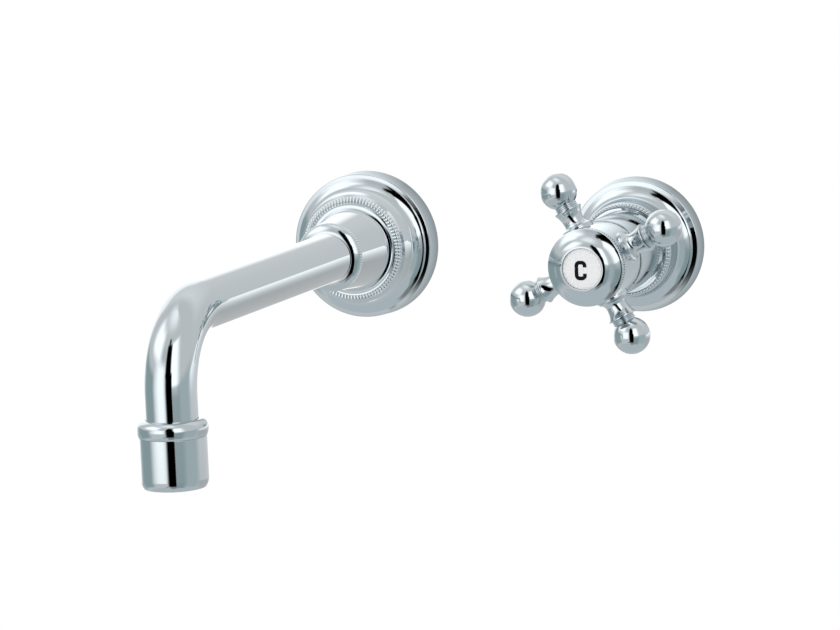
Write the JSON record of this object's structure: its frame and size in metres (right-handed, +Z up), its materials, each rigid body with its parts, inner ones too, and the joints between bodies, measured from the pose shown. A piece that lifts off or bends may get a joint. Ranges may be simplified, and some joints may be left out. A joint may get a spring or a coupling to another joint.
{
  "type": "wall-mounted basin tap",
  "caption": "Traditional chrome wall-mounted basin tap: bent tube spout with aerator nozzle and a cross-head quarter-turn valve with ball finials, each on a stepped round rose.",
  "frame": {"origin": "where the spout's axis leaves the wall's face", "axes": "+Y into the wall, so the tap stands out towards -Y; +X from the spout to the valve; +Z up"},
  "size_m": [0.2035, 0.3114, 0.1102],
  "materials": {
    "chrome_plate": "polished chrome plate on brass",
    "raw_brass": "plain machined brass",
    "copper_pipe": "drawn copper pipe",
    "black_rubber": "moulded EPDM seal",
    "red_fibre": "pressed fibre washer",
    "alumina": "lapped alumina",
    "white_enamel": "white glazed disc",
    "stainless": "stainless steel",
    "aerator_plastic": "moulded acetal"
  },
  "bodies": {
    "tap_body": {"spout_tube": "chrome_plate", "spout_collar": "chrome_plate", "spout_rose": "chrome_plate", "outlet_socket": "chrome_plate", "nozzle_shell": "chrome_plate", "valve_rose": "chrome_plate", "valve_shroud": "chrome_plate", "spout_nipple": "raw_brass", "headwork_body": "raw_brass", "spout_elbow": "raw_brass", "valve_body": "raw_brass", "bridge_nuts": "raw_brass", "bridge_olives": "raw_brass", "bridge_tube": "copper_pipe", "spout_o_rings": "black_rubber", "spout_rose_gasket": "black_rubber", "aerator_washer": "black_rubber", "valve_rose_gasket": "black_rubber", "seat_seal": "black_rubber", "headwork_seal": "red_fibre", "fixed_disc": "alumina", "spout_grub_screw": "stainless", "aerator_screen": "stainless", "aerator_cartridge": "aerator_plastic"},
    "handle": {"spindle": "raw_brass", "spindle_o_rings": "black_rubber", "spindle_circlip": "stainless", "moving_disc": "alumina", "handle_hub": "chrome_plate", "handle_cap": "chrome_plate", "index_disc": "white_enamel", "handle_screw": "stainless", "handle_arm_1": "chrome_plate", "handle_arm_2": "chrome_plate", "handle_arm_3": "chrome_plate", "handle_arm_4": "chrome_plate", "ball_finial_1": "chrome_plate", "ball_finial_2": "chrome_plate", "ball_finial_3": "chrome_plate", "ball_finial_4": "chrome_plate"}
  },
  "joints": [
    {"name": "handle_turn", "type": "hinge", "parent": "tap_body", "child": "handle", "pos_m": [0.13, -0.066, 0], "axis": [0, -1, 0], "range_deg": [0, 90]}
  ]
}
